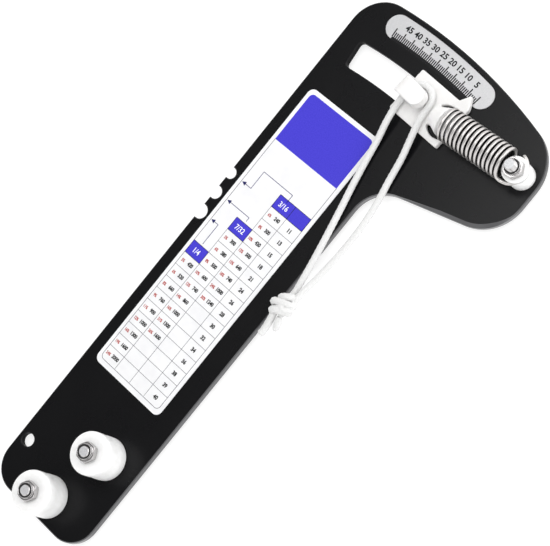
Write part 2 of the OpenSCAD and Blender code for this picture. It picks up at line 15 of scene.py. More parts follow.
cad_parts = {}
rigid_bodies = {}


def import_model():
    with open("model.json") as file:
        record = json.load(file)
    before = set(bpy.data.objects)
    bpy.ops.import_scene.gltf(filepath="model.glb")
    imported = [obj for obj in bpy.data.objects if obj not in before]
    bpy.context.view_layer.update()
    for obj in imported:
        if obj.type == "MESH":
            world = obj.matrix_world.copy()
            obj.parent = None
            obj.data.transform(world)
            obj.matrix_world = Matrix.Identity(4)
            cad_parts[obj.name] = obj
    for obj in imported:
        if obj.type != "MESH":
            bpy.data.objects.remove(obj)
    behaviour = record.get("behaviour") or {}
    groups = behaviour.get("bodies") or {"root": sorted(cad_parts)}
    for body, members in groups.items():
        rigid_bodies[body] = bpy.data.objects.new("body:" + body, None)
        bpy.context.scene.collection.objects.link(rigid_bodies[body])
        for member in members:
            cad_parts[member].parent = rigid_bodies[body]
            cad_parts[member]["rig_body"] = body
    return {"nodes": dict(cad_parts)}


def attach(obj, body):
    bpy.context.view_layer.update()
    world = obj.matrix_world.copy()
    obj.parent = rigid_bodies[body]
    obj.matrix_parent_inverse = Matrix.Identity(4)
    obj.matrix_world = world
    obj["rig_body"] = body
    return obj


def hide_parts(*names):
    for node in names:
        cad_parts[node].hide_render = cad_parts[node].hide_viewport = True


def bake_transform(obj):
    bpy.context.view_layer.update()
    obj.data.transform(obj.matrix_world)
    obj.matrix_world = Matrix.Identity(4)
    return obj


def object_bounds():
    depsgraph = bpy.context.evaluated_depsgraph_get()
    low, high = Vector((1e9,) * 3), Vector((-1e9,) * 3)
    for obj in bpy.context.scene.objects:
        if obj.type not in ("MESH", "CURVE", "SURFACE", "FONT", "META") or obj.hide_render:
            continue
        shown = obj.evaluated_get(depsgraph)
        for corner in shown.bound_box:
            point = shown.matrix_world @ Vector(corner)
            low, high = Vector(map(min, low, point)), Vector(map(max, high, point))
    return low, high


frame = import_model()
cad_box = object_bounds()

MM = 0.001
PLATE_T = 3.2
scene = bpy.context.scene
nodes = frame["nodes"]

# %% [markdown]
# ## Camera
# The photograph looks down at the gauge lying on its back, turned so that the handle runs from lower left to
# upper right. The camera's place and its three axes were found from the plate's straight edges and the arcs.
# A matrix of axes is steadier than three angles here, because the camera is rolled as well as tilted.

# %% Camera
CAMERA_AT = (0.38181, 0.17524, 0.73475)
RIGHT = Vector((0.67514, 0.62716, -0.38840))
UP = Vector((-0.58419, 0.77604, 0.23761))
BACK = Vector((0.45044, 0.06648, 0.89033))

camera_data = bpy.data.cameras.new("photo_camera")
camera_data.lens = 129.08
camera_data.sensor_width = 36.0
camera = bpy.data.objects.new("photo_camera", camera_data)
scene.collection.objects.link(camera)
axes = Matrix((RIGHT, UP, BACK)).transposed()
camera.matrix_world = Matrix.Translation(CAMERA_AT) @ axes.to_4x4()
scene.camera = camera
scene.view_settings.view_transform = "Standard"
print("camera stands", round(camera.location.z / MM), "mm over the plate")

# %% [markdown]
# ## Helpers for materials
# Colours are written as the sRGB hex values that a picture shows, and shaders work in linear light, so one
# function turns the first into the second. Another adds a node with its settings and links. Most surfaces
# here wander a little between two tones, so that has a function too.

# %% Colour and node helpers
def linear(code):
    """An sRGB hex colour as linear red, green, blue and alpha."""
    parts = [int(code[i:i + 2], 16) / 255 for i in (1, 3, 5)]
    return (*[c / 12.92 if c <= 0.04045 else ((c + 0.055) / 1.055) ** 2.4 for c in parts], 1.0)


def fill(material, node, settings=None, links=None):
    """Sets a node's sockets and properties, and links other nodes' outputs to it."""
    for name, value in (settings or {}).items():
        if name == "ramp":
            stops = node.color_ramp.elements
            for place, _ in value[1:-1]:
                stops.new(place)
            for stop, (place, colour) in zip(stops, value):
                stop.position = place
                stop.color = colour
        elif name in node.inputs:
            node.inputs[name].default_value = value
        else:
            setattr(node, name, value)
    for name, source in (links or {}).items():
        material.node_tree.links.new(source, node.inputs[name])


def put(material, kind, settings=None, links=None):
    """Adds a node to the material, or to the world, and fills it."""
    node = material.node_tree.nodes.new(kind)
    fill(material, node, settings, links)
    return node


def start(name):
    """A new material with its shader and its texture coordinates."""
    material = bpy.data.materials.new(name)
    material.use_nodes = True
    return material, material.node_tree.nodes["Principled BSDF"], put(material, "ShaderNodeTexCoord")


def blotches(material, coords, size, detail=2.0):
    """A noise whose blotches are about this many millimetres across. Object coordinates are in metres."""
    noise = put(material, "ShaderNodeTexNoise", {"Scale": 1 / (size * MM), "Detail": detail},
                {"Vector": coords.outputs["Object"]})
    return noise.outputs["Fac"]


def mottle(material, shader, coords, size, dark, light, detail=2.0, stops=(0.3, 0.7)):
    """Lets the colour wander between two tones in blotches of a size, and returns that noise."""
    noise = blotches(material, coords, size, detail)
    tone = put(material, "ShaderNodeValToRGB",
               {"ramp": [(stops[0], linear(dark)), (stops[1], linear(light))]}, {"Fac": noise})
    fill(material, shader, None, {"Base Color": tone.outputs["Color"]})
    return noise


print("material helpers ready")

# %% [markdown]
# ## Braided polyester
# The lanyard is a braided polyester cord, white, dull, with a slight sheen from its many fibres. The braid is
# real geometry further down. The material adds the fibres, drawn at 0.25 mm because the real 0.03 mm ones
# would be lost in the render.

# %% Braided polyester
def braided_polyester():
    material, shader, coords = start("braided_polyester")
    fibres = mottle(material, shader, coords, 0.25, "#d1d1d1", "#e6e6e5")
    bump = put(material, "ShaderNodeBump", {"Strength": 0.25, "Distance": 0.05 * MM}, {"Height": fibres})
    fill(material, shader, {"Roughness": 0.85, "Sheen Weight": 0.15, "IOR": 1.55},
         {"Normal": bump.outputs["Normal"]})
    return material


cord_white = braided_polyester()
print("material:", cord_white.name)

# %% [markdown]
# ## Skins and pieces
# A cord, a spring and a turned part are all rings of points joined in order, so one function skins rings. It
# closes the two ends, or it joins the last ring to the first, for a part with a bore.

# %% Rings to pieces
def skin(rings, hollow=False):
    """Points and faces of a closed surface through rings in order: with flat ends, or hollow without."""
    count, sides = len(rings), len(rings[0])
    points = [p for ring in rings for p in ring]
    faces = []
    for i in range(count if hollow else count - 1):
        here, there = i * sides, (i + 1) % count * sides
        for k in range(sides):
            after = (k + 1) % sides
            faces.append((here + k, here + after, there + after, there + k))
    if not hollow:
        faces += [tuple(reversed(range(sides))), tuple(range((count - 1) * sides, count * sides))]
    return points, faces


def joined(parts):
    """Several lists of points and faces as one."""
    points, faces = [], []
    for more_points, more_faces in parts:
        first = len(points)
        points += more_points
        faces += [tuple(first + i for i in face) for face in more_faces]
    return points, faces


def piece(name, shape, material, body, sharp=35.0):
    """A mesh object from points in millimetres, smooth but for edges over an angle, riding on a body."""
    points, faces = shape
    mesh = bpy.data.meshes.new(name)
    mesh.from_pydata([Vector(p) * MM for p in points], [], faces)
    return dressed(bpy.data.objects.new(name, mesh), material, body, sharp)


def dressed(obj, material, body, sharp=35.0):
    """Links an object, gives it its material and smooth faces, and lets it ride."""
    mesh = obj.data
    mesh.polygons.foreach_set("use_smooth", [True] * len(mesh.polygons))
    mesh.set_sharp_from_angle(angle=math.radians(sharp))
    mesh.materials.clear()
    mesh.materials.append(material)
    mesh.update()
    scene.collection.objects.link(obj)
    if body:
        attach(obj, body)
    return obj


def recoat(node, material):
    """Gives a solid that stays in the scene its finished material."""
    nodes[node].data.materials.clear()
    nodes[node].data.materials.append(material)


def level_ring(at, z, radii):
    """A level ring of points about an upright axis, with a radius for each."""
    spokes = [(r, 2 * math.pi * k / len(radii)) for k, r in enumerate(radii)]
    return [Vector((at[0] + r * math.cos(a), at[1] + r * math.sin(a), z)) for r, a in spokes]


def quarter(x, y, radius, first, steps):
    """Points of a quarter round about a middle, from an angle in degrees, going against the clock."""
    angles = [math.radians(first + 90 * k / steps) for k in range(steps + 1)]
    return [(x + radius * math.cos(a), y + radius * math.sin(a)) for a in angles]


print("piece helpers ready")

# %% [markdown]
# ## Lines and tubes
# A cord or a wire is a middle line with rings along it. The rings turn as little as possible from one to the
# next, which keeps the tube untwisted.

# %% Lines and tubes
UPWARD = Vector((0, 0, 1))
SPAN_STEPS = 24


def frames_along(line):
    """For each point of a line: the point, its direction and two square sides."""
    made, first = [], UPWARD
    for i, point in enumerate(line):
        ahead = (line[min(i + 1, len(line) - 1)] - line[max(i - 1, 0)]).normalized()
        side = (first - ahead * first.dot(ahead)).normalized()
        made.append((point, ahead, side, ahead.cross(side)))
        first = side
    return made


def tube(line, radius, sides, ends):
    """Rings of a round tube along a line, with both ends rounded over a share of the radius."""
    def ring(point, ahead, side, other, size=1.0, beyond=0.0):
        turns = (2 * math.pi * k / sides for k in range(sides))
        return [point + beyond * ahead + size * radius * (math.cos(a) * side + math.sin(a) * other)
                for a in turns]

    frames = frames_along(line)
    rings = [ring(*f) for f in frames]
    for share in (0.4, 0.8):
        size, beyond = math.sqrt(1 - share * share), share * ends * radius
        rings = [ring(*frames[0], size, -beyond), *rings, ring(*frames[-1], size, beyond)]
    return rings


def smooth_line(points, step):
    """A line through the points with evenly spaced steps, by cubic spans that pass through each of them."""
    knots = [Vector(p) for p in points]
    knots = [2 * knots[0] - knots[1], *knots, 2 * knots[-1] - knots[-2]]
    fine = []
    for a, b, c, d in zip(knots, knots[1:], knots[2:], knots[3:]):
        for k in range(SPAN_STEPS):
            t = k / SPAN_STEPS
            fine.append(0.5 * (2 * b + (c - a) * t + (2 * a - 5 * b + 4 * c - d) * t ** 2
                               + (3 * b - a - 3 * c + d) * t ** 3))
    fine.append(knots[-2])
    spots, total = [0.0], 0.0
    for a, b in zip(fine, fine[1:]):
        total += (b - a).length
        spots.append(total)
    count = max(2, round(total / step))
    line, at = [], 0
    for k in range(count + 1):
        wanted = total * k / count
        while at < len(spots) - 2 and spots[at + 1] < wanted:
            at += 1
        share = (wanted - spots[at]) / max(spots[at + 1] - spots[at], 1e-9)
        line.append(fine[at].lerp(fine[at + 1], min(1.0, share)))
    return line, total


print("line helpers ready")

# %% [markdown]
# ## Lanyard
# One braided cord, 3 mm thick, looped round the hook's post and tied to itself in an overhand knot. Its
# middle line repeats the route of the solid. The braid is made as geometry: two families of strands wind
# round the cord in opposite ways, each passing over the other in turn, and a point's height follows the
# strand on top. The cord swells a little in the knot and at its two cut tails.

# %% Braided cord
CORD_D, CORD_SIDES, CORD_STEP, CORD_SHARP = 3.0, 32, 0.3, 80
CORD_SWOLLEN = 1.12
STRANDS = 6
BRAID_TURN = 14.0
BRAID_HEIGHT = 0.24


def braid_height(turn, way):
    """Height of the braid's surface, from 0 to 1, at a share of a turn and a way along in millimetres."""
    a = STRANDS * (turn + way / BRAID_TURN)
    b = STRANDS * (turn - way / BRAID_TURN)
    across, along = (a, b) if (math.floor(a) + math.floor(b)) % 2 == 0 else (b, a)
    round_top = math.sin(math.pi * (across % 1.0))
    return round_top ** 0.7 * (0.55 + 0.45 * math.sin(math.pi * (along % 1.0)))


def braided(line, size=1.0, taper=0.6, tip=0.62):
    """A braided cord along an evenly stepped line, its two ends drawn in to a tip over the taper."""
    rings = []
    step = (line[1] - line[0]).length
    for i, (point, _, side, other) in enumerate(frames_along(line)):
        from_end = min(i, len(line) - 1 - i) * step
        close = min(1.0, tip + (1 - tip) * math.sqrt(min(1.0, from_end / taper)))
        ring = []
        for k in range(CORD_SIDES):
            turn = k / CORD_SIDES
            radius = (size * CORD_D / 2 - BRAID_HEIGHT * (1 - braid_height(turn, i * step))) * close
            angle = 2 * math.pi * turn
            ring.append(point + radius * (math.cos(angle) * side + math.sin(angle) * other))
        rings.append(ring)
    return skin(rings)


LOOP = [
    (25.9, 117, 5.6), (25.4, 121.5, 5.3), (23.9, 130, 5.2), (21.9, 140, 5.2), (19.7, 150, 5.2),
    (17.4, 160, 5.2), (15, 170, 5.2), (12.9, 180, 5.2), (11.2, 190, 5.7), (10, 198, 7.4),
    (9.2, 205, 8.3), (8.9, 210, 8.3), (8.9, 214, 8.3), (9.7, 217, 8.3), (11.9, 219.2, 8.3),
    (14.9, 220.1, 8.3), (17.9, 219.3, 8.3), (20.2, 217, 8.3), (21, 214, 8.3), (21.3, 210, 8.3),
    (22.2, 205, 8.3), (23.8, 198, 7.4), (25.3, 190, 5.8), (26.9, 180, 5.25), (28.8, 171, 5.25),
    (30.2, 161, 5.25), (30.6, 151, 5.25), (30.3, 141, 5.25), (29.5, 131, 5.3), (28.9, 123, 6.3),
    (28.9, 117, 7.2)]
TAILS = [
    [(24.4, 108.9, 6.8), (24.9, 104.5, 5.7), (25.3, 100.4, 5.35), (25.2, 97.4, 5.3)],
    [(27.7, 108.6, 6.8), (28.7, 105.2, 5.7), (29.4, 102.4, 5.35)]]
TAIL_ENDS = [{"taper": 0.6, "tip": 0.75}, {"taper": 2.0, "tip": 0.3}]

loop_line, loop_length = smooth_line(LOOP, CORD_STEP)
cord_loop = piece("lanyard_cord", braided(loop_line), cord_white, "slide", CORD_SHARP)
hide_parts("lanyard_loop")

tail_parts, tail_length = [], 0.0
for tail, end in zip(TAILS, TAIL_ENDS):
    line, length = smooth_line(tail, CORD_STEP)
    tail_length += length
    tail_parts.append(braided(line, CORD_SWOLLEN, **end))
cord_tails = piece("lanyard_cut_ends", joined(tail_parts), cord_white, "slide", CORD_SHARP)
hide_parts("lanyard_tails")
print("loop", round(loop_length, 1), "mm, tails", round(tail_length, 1), "mm")

# %% [markdown]
# ## Knot
# Both strands are tied in one overhand knot. What shows is the cord wound round the strands on a slant, so it
# is a flattened helix whose ends tuck in. One strand crosses over its front, and both run through the middle.
# Each row of the table of wraps gives a number of turns, then the helix's middle in X and Y, its half width
# and its half height there.

# %% Overhand knot
WRAPS = [(-0.1, 26.8, 109.4, 2.6, 2.0), (0.25, 26.6, 110.2, 3.5, 2.4), (1.25, 26.2, 113.7, 4.7, 2.4),
         (2.25, 26.1, 116.9, 2.1, 1.6), (2.5, 26.6, 117.4, 1.2, 1.0)]
WRAP_SLANT, WRAP_Z = 1.0, 7.65
WRAP_POINTS, POINTS_PER_TURN = 63, 24
OVER = [(28.9, 117.2, 7.2), (30.1, 115.2, 7.9), (30.7, 113.2, 8.8), (29.5, 112.1, 10.0), (27.2, 111.7, 10.3),
        (25.2, 111.0, 9.0)]


def wrap_at(turns):
    """Middle, width and height of the knot at a number of turns, between the rows of the table."""
    for a, b in zip(WRAPS, WRAPS[1:]):
        if turns <= b[0]:
            share = (turns - a[0]) / (b[0] - a[0])
            return [p + (q - p) * share for p, q in zip(a[1:], b[1:])]
    return WRAPS[-1][1:]


knot_points = []
for k in range(WRAP_POINTS):
    turns = WRAPS[0][0] + k / POINTS_PER_TURN
    x, y, wide, high = wrap_at(turns)
    across, up = -math.cos(2 * math.pi * turns), math.sin(2 * math.pi * turns)
    knot_points.append((x + wide * across, y + WRAP_SLANT * across, WRAP_Z + high * up))
knot_line, wound = smooth_line(knot_points, CORD_STEP)
knot_parts = [braided(knot_line, CORD_SWOLLEN)]
for way in (OVER, [LOOP[0], TAILS[0][0]], [LOOP[-1], TAILS[1][0]]):
    line, length = smooth_line(way, CORD_STEP)
    wound += length
    knot_parts.append(braided(line))
cord_knot = piece("lanyard_overhand_knot", joined(knot_parts), cord_white, "slide", CORD_SHARP)
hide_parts("lanyard_knot")
whole_cord = loop_length + tail_length + wound
print("knot holds", round(wound, 1), "mm of cord, whole cord", round(whole_cord, 1), "mm")

# %% [markdown]
# ## Satin black powder coat
# The plate is metal with a satin black powder coat, baked on, which gives a fine orange peel of about 0.8 mm
# and a wide soft gloss. The walls inside its openings get a copy that reflects less, as painted shade. On the
# outer cut edges a painted highlight makes the coat lighter and glossier on the side that faces +X and -Y,
# so there the tone follows the way that the surface faces.

# %% Satin black powder coat
# The painted highlight on the edges: its turn about Z, and where its tone starts, rises and ends.
PAINTED_HIGHLIGHT_TURN = math.radians(50)
PAINTED_HIGHLIGHT_FIRST, PAINTED_HIGHLIGHT_MIDDLE, PAINTED_HIGHLIGHT_LAST = 0.45, 0.82, 0.97


def satin_black_coat(name, level):
    """The coat with its orange peel. The level says how strongly it reflects."""
    material, shader, coords = start(name)
    peel = mottle(material, shader, coords, 0.8, "#08080a", "#0c0c0e")
    cloud = blotches(material, coords, 14.0)
    gloss = put(material, "ShaderNodeMapRange", {"To Min": 0.25, "To Max": 0.31}, {"Value": cloud})
    bump = put(material, "ShaderNodeBump", {"Strength": 0.12, "Distance": 0.03 * MM}, {"Height": peel})
    fill(material, shader, {"IOR": 1.5, "Specular IOR Level": level},
         {"Roughness": gloss.outputs["Result"], "Normal": bump.outputs["Normal"]})
    return material


def rubbed_edge_coat():
    """The coat on cut edges, with a painted highlight: lighter and glossier on the side that faces +X and -Y.
    """
    material, shader, coords = start("satin_black_powder_coat_edge_painted_highlight")
    across = put(material, "ShaderNodeMapping",
                 {"Rotation": (0, 0, PAINTED_HIGHLIGHT_TURN), "Scale": (0.5, 0.5, 0.5), "Location": (0.5, 0, 0)},
                 {"Vector": coords.outputs["Normal"]})
    side = put(material, "ShaderNodeSeparateXYZ", None, {"Vector": across.outputs["Vector"]}).outputs["X"]
    tones = [(PAINTED_HIGHLIGHT_FIRST, linear("#1a1a1c")), (PAINTED_HIGHLIGHT_MIDDLE, linear("#48484a")), (PAINTED_HIGHLIGHT_LAST, linear("#6c6c6e"))]
    tone = put(material, "ShaderNodeValToRGB", {"ramp": tones}, {"Fac": side})
    level = put(material, "ShaderNodeMapRange",
                {"From Min": PAINTED_HIGHLIGHT_FIRST, "From Max": PAINTED_HIGHLIGHT_LAST, "To Min": 0.2, "To Max": 0.85}, {"Value": side})
    fill(material, shader, {"Roughness": 0.3},
         {"Base Color": tone.outputs["Color"], "Specular IOR Level": level.outputs["Result"]})
    return material


coat_black = satin_black_coat("satin_black_powder_coat", 0.2)
# Painted shade: a copy of the coat that reflects far less, for the walls inside the slot, recess and hang hole.
opening_walls_painted_shade = satin_black_coat("satin_black_powder_coat_inside_painted_shade", 0.03)
edge_black_painted_highlight = rubbed_edge_coat()
print("materials:", coat_black.name, opening_walls_painted_shade.name, edge_black_painted_highlight.name)

# %% [markdown]
# ## Plate
# The plate's edges are cut narrowly all round, the slot's and the notches' too, and wider under the lobe. A
# bevel modifier cuts them, and a weight on each edge gives its width. Only edges on walls of nearly the full
# thickness get a weight, so the shallow recess of the scale stays as it is.

# %% Edge cutter
SAME_PLACE = 2e-6
WALL_HIGH = 2.0
WIDEST_CUT = 2.0


def clean_copy(node):
    """The node's mesh with its shared corners joined and its flat faces whole."""
    shape = bmesh.new()
    shape.from_mesh(nodes[node].data)
    bmesh.ops.remove_doubles(shape, verts=shape.verts, dist=SAME_PLACE)
    bmesh.ops.dissolve_limit(shape, angle_limit=math.radians(0.5), verts=shape.verts, edges=shape.edges)
    return shape


def wall_at(edge):
    """The wall beside an edge of a flat face, if it is high enough."""
    if len(edge.link_faces) != 2:
        return None
    flat, wall = sorted(edge.link_faces, key=lambda f: -abs(f.normal.z))
    tall = [v.co.z for v in wall.verts]
    is_rim = abs(flat.normal.z) > 0.99 and abs(wall.normal.z) < 0.2
    return wall if is_rim and max(tall) - min(tall) > WALL_HIGH * MM else None


def evaluated(source, name):
    """The mesh of an object after its modifiers. The object itself goes."""
    graph = bpy.context.evaluated_depsgraph_get()
    mesh = bpy.data.meshes.new_from_object(source.evaluated_get(graph))
    mesh.name = name
    bpy.data.objects.remove(source)
    return mesh


def cut_edges(node, name, width_at, material, segments):
    """A piece in the node's place with the edges of its high walls cut or rounded, each to its own width."""
    shape = clean_copy(node)
    weight = shape.edges.layers.float.new("bevel_weight_edge")
    rims = 0
    for edge in shape.edges:
        wall = wall_at(edge)
        if wall:
            middle = (edge.verts[0].co + edge.verts[1].co) / 2 / MM
            edge[weight] = width_at(middle, wall.normal) / WIDEST_CUT
            rims += 1
    raw = bpy.data.meshes.new(name + "_source")
    shape.to_mesh(raw)
    shape.free()
    source = bpy.data.objects.new(name + "_source", raw)
    scene.collection.objects.link(source)
    cut = source.modifiers.new("cut", "BEVEL")
    cut.limit_method = "WEIGHT"
    cut.offset_type = "OFFSET"
    cut.width = WIDEST_CUT * MM
    cut.segments = segments
    cut.use_clamp_overlap = False
    body = nodes[node]["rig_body"]
    made = dressed(bpy.data.objects.new(name, evaluated(source, name)), material, body)
    made.modifiers.new("flat_faces", "WEIGHTED_NORMAL").keep_sharp = True
    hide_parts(node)
    print(name, "cut on", rims, "edges")
    return made


print("edge cutter ready")

# %% [markdown]
# The plate's slot and recess are known by a band each: nearest and farthest radius from the origin, then
# lowest and highest X. Its flat faces keep the plain coat, the outer edges and walls get the coat with the
# painted highlight, and the walls inside the openings the duller copy with painted shade.

# %% Plate with cut edges
HANG_HOLE, HANG_HOLE_REACH = (-30.6, -3.6), 4
SLOT_BAND = (206, 222, -33, 40)
RECESS_BAND = (226, 239.3, -24, 43)
LOBE_FROM_X, LOBE_FROM_Y = 36, 150
FRONT_CUT, BACK_CUT, LOBE_CUT = 0.4, 0.25, 1.2


def in_opening(x, y):
    """True for a place at the slot, the scale's recess or the hang hole."""
    r = math.hypot(x, y)
    in_band = any(near < r < far and low < x < high for near, far, low, high in (SLOT_BAND, RECESS_BAND))
    return in_band or math.dist((x, y), HANG_HOLE) < HANG_HOLE_REACH


def plate_edge(at, facing):
    """Width of the cut edge: small all round, and wide under the lobe, where the palm rests."""
    if at.z < PLATE_T / 2:
        return BACK_CUT
    if at.x < LOBE_FROM_X or at.y < LOBE_FROM_Y or in_opening(at.x, at.y):
        return FRONT_CUT
    return FRONT_CUT + LOBE_CUT * min(1.0, max(0.0, (-facing.y - 0.3) / 0.4))


plate = cut_edges("body_plate", "gauge_plate", plate_edge, coat_black, 1)
plate.data.materials.append(edge_black_painted_highlight)
plate.data.materials.append(opening_walls_painted_shade)
# Flat faces keep the coat, outer edges and walls get the painted highlight, walls in the openings the painted
# shade.
for face in plate.data.polygons:
    level = abs(face.normal.z)
    if in_opening(*face.center.xy / MM):
        face.material_index = 2 if level < 0.2 else 0
    else:
        face.material_index = 0 if level > 0.97 else 1

# %% [markdown]
# ## Nylon
# Rollers, keeper, bushing and washer are moulded white nylon. The hook gets a copy a shade greyer, as painted
# shade that holds back the strong light on it.
# Both are satin and slightly see-through at the skin, with a faint unevenness of about 2 mm from the mould.

# %% White nylon and its greyer copy with painted shade
def moulded_nylon(name, dark, light):
    material, shader, coords = start(name)
    uneven = mottle(material, shader, coords, 2.0, dark, light, 3.0, (0.35, 0.65))
    gloss = put(material, "ShaderNodeMapRange", {"To Min": 0.36, "To Max": 0.46}, {"Value": uneven})
    bump = put(material, "ShaderNodeBump", {"Strength": 0.06, "Distance": 0.05 * MM}, {"Height": uneven})
    fill(material, shader,
         {"IOR": 1.53, "Subsurface Weight": 0.5, "Subsurface Radius": (1.0, 1.0, 1.0),
          "Subsurface Scale": 2.0 * MM},
         {"Roughness": gloss.outputs["Result"], "Normal": bump.outputs["Normal"]})
    return material


nylon = moulded_nylon("moulded_white_nylon", "#efefee", "#f5f5f5")
# Painted shade: the hook's copy of the nylon, a shade greyer, holds back the strong light on it.
hook_nylon_painted_shade = moulded_nylon("moulded_nylon_painted_shade", "#e8e7e6", "#ebeae9")
print("materials:", nylon.name, hook_nylon_painted_shade.name)

# %% [markdown]
# ## Hook slide
# The moulding has soft edges and fillets everywhere. A voxel remesh of the solid at 0.3 mm, then a little
# smoothing, rounds all of them at once, joints between post, head and base included. The end of the head is
# round when seen from above, so points of it that lie outside a circle are drawn in to that circle. The
# circle's middle is given in the slide's own frame, which is turned by the slide's angle at rest.

# %% Hook slide
VOXEL, EASE_PASSES, ALL_SMOOTH = 0.3, 10, 180
KEEPER_ROUND = 0.4
SLOT_R, SLIDE_REST = 214, math.radians(-5.5)
HEAD_LOW_Z, HEAD_END_R, HEAD_END_LENGTH = 9.8, 4.2, 6
HEAD_END_U, HEAD_END_V = -4.35, SLOT_R + 0.4

source = bpy.data.objects.new("hook_source", nodes["hook_slide"].data.copy())
scene.collection.objects.link(source)
source.modifiers.new("join", "WELD").merge_threshold = SAME_PLACE
grid = source.modifiers.new("grid", "REMESH")
grid.mode = "VOXEL"
grid.voxel_size = VOXEL * MM
ease = source.modifiers.new("ease", "SMOOTH")
ease.factor = 0.5
ease.iterations = EASE_PASSES
hook_mesh = evaluated(source, "hook_moulding")
hook = dressed(bpy.data.objects.new("hook_moulding", hook_mesh), hook_nylon_painted_shade, "slide", ALL_SMOOTH)
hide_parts("hook_slide")

on_slide = Matrix.Rotation(SLIDE_REST, 4, "Z") @ Matrix.Translation((HEAD_END_U, HEAD_END_V, 0))
to_slide = on_slide.inverted()
for v in hook.data.vertices:
    at = to_slide @ (v.co / MM)
    if at.z > HEAD_LOW_Z and 0 < at.x < HEAD_END_LENGTH and at.xy.length > HEAD_END_R:
        at.xy = at.xy.normalized() * HEAD_END_R
        v.co = on_slide @ at * MM
hook.data.update()
print("hook has", len(hook.data.polygons), "faces")
cut_edges("slide_keeper", "keeper_moulding", lambda at, facing: KEEPER_ROUND, nylon, 3)

# %% [markdown]
# ## Bright metals
# Nuts, bolts and screws are zinc-plated steel, bright with a fine unevenness, and the bolts' sawn ends are
# duller. The spring is drawn steel wire, a little warmer, and the wire's faces inside the coil are near-black
# steel as painted shade between its turns.

# %% Zinc-plated steel and drawn wire
def bright_metal(name, dark, light, smooth, rough, size, metallic):
    """Metal between two tones and two roughnesses, with marks of a size in millimetres."""
    material, shader, coords = start(name)
    marks = mottle(material, shader, coords, size, dark, light, 3.0)
    gloss = put(material, "ShaderNodeMapRange", {"To Min": smooth, "To Max": rough}, {"Value": marks})
    fill(material, shader, {"Metallic": metallic}, {"Roughness": gloss.outputs["Result"]})
    return material


zinc = bright_metal("zinc_plated_steel", "#b2b0b0", "#c0bebe", 0.16, 0.22, 0.7, 0.92)
wire = bright_metal("drawn_spring_steel", "#c9c6c4", "#d4d1cf", 0.26, 0.32, 2.0, 0.8)
# Painted shade: near-black steel for the wire's faces inside the coil, between its turns.
coil_painted_shade = bright_metal("spring_steel_painted_shade", "#0f0d0c", "#181514", 0.4, 0.5, 2.0, 0.5)
sawn = bright_metal("sawn_steel_end", "#b9b9bb", "#d0d0d2", 0.4, 0.5, 0.5, 0.35)
print("materials:", zinc.name, wire.name, coil_painted_shade.name, sawn.name)

# %% [markdown]
# ## Spring
# A close-wound tension spring of 1.5 mm wire. Its left end turns into the slide's plug, its right end opens
# into an eye round the bushing's hub. The middle line is built in the spring's own frame, as in the solid,
# but as a true helix. The slide's joint stretches the real one, but this piece rides on no body.

# %% Spring
WIRE_D, WIRE_SIDES, WIRE_END = 1.5, 28, 0.9
COIL_R = 6.75
COIL_START = -36.917
COIL_END = -5.140
COIL_FIRST = -90.0
COIL_LAST = COIL_FIRST + 360 * 14 + 240
COIL_SHOWN, COIL_STEP = -65.0, 6.25
TANG, TANG_STEP = [(0, -2.6), (-0.1, -4.4), (-0.5, -5.9)], 0.5
BEND_REACH, BEND_STEPS = 2.2, 12
HUB_R, HUB_GAP = 3.2, 0.12
EYE_C = HUB_R + WIRE_D / 2 + HUB_GAP - COIL_R
EYE_FIRST, EYE_LAST, EYE_STEPS = -85.0, 75.0, 20
PAINTED_SHADE_REACH = 0.38
POST = Vector((71.0, 214.6, 12.0))
SPRING_DIR = math.radians(2.848)
on_axis = Matrix.Translation(POST) @ Matrix.Rotation(SPRING_DIR, 4, "Z")
to_axis = on_axis.inverted()


def coil_point(degrees):
    """A point of the helix, at an angle counted on through all its turns."""
    share = (degrees - COIL_FIRST) / (COIL_LAST - COIL_FIRST)
    a = math.radians(degrees)
    return Vector((COIL_START + share * (COIL_END - COIL_START), COIL_R * math.cos(a), COIL_R * math.sin(a)))


def eye_point(degrees):
    """A point of the eye, which lies level."""
    a = math.radians(degrees)
    return Vector((EYE_C + COIL_R * math.cos(a), COIL_R * math.sin(a), 0))


coil_count = int((COIL_LAST - COIL_SHOWN) / COIL_STEP) + 1
coil = [coil_point(COIL_SHOWN + COIL_STEP * k) for k in range(coil_count)]
bend_from, bend_to = coil_point(COIL_LAST), eye_point(EYE_FIRST)
last_way = (bend_from - coil_point(COIL_LAST - 2)).normalized()
eye_way = (eye_point(EYE_FIRST + 2) - bend_to).normalized()
bend = []
for k in range(1, BEND_STEPS):
    t = k / BEND_STEPS
    bend.append((1 - t) ** 3 * bend_from + 3 * t * (1 - t) ** 2 * (bend_from + BEND_REACH * last_way)
                + 3 * t * t * (1 - t) * (bend_to - BEND_REACH * eye_way) + t ** 3 * bend_to)
eye = [eye_point(EYE_FIRST + (EYE_LAST - EYE_FIRST) * k / EYE_STEPS) for k in range(EYE_STEPS + 1)]
tang = smooth_line([(COIL_START, y, z) for y, z in TANG] + [coil[0]], TANG_STEP)[0]
spring_line = [on_axis @ p for p in tang[:-1] + coil + bend + eye]
spring_shape = skin(tube(spring_line, WIRE_D / 2, WIRE_SIDES, WIRE_END))
spring = piece("tension_spring_coil", spring_shape, wire, None)
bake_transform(spring)
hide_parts("tension_spring")
spring.data.materials.append(coil_painted_shade)
# Painted shade: faces of the turns that lie nearer the axis than a little past the wire's middle get the
# near-black steel.
for face in spring.data.polygons:
    x, y, z = to_axis @ (face.center / MM)
    face.material_index = 1 if x < COIL_END - 1 and math.hypot(y, z) < COIL_R + PAINTED_SHADE_REACH else 0
print("spring wire is", len(spring_line), "rings long")

# %% [markdown]
# ## Turned nylon parts
# Rollers, bushing and washer are round, so each is its half profile turned about its bolt. The profiles use
# the solid's sizes, with small rounds at the edges that the light catches.

